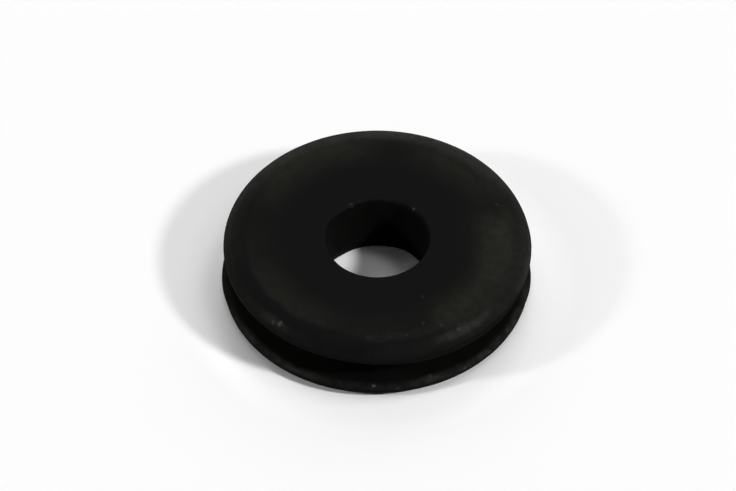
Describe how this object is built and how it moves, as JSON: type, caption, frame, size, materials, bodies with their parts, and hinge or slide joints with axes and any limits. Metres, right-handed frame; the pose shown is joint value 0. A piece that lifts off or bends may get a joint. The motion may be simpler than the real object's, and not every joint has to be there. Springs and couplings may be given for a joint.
{
  "type": "rubber grommet",
  "caption": "Flat rubber ring with a flange on each side, a groove between them that grips the edge of a panel, and a bore for a cable.",
  "frame": {"origin": "centre of the lower face, on the axis of the bore", "axes": "+Z along the bore from the lower face to the upper face; X and Y are free, because the ring is round"},
  "size_m": [0.025, 0.025, 0.0056],
  "materials": {
    "rubber": "matt black moulded rubber with a thin grey dust haze"
  },
  "bodies": {
    "root": {"grommet": "rubber"}
  },
  "joints": []
}
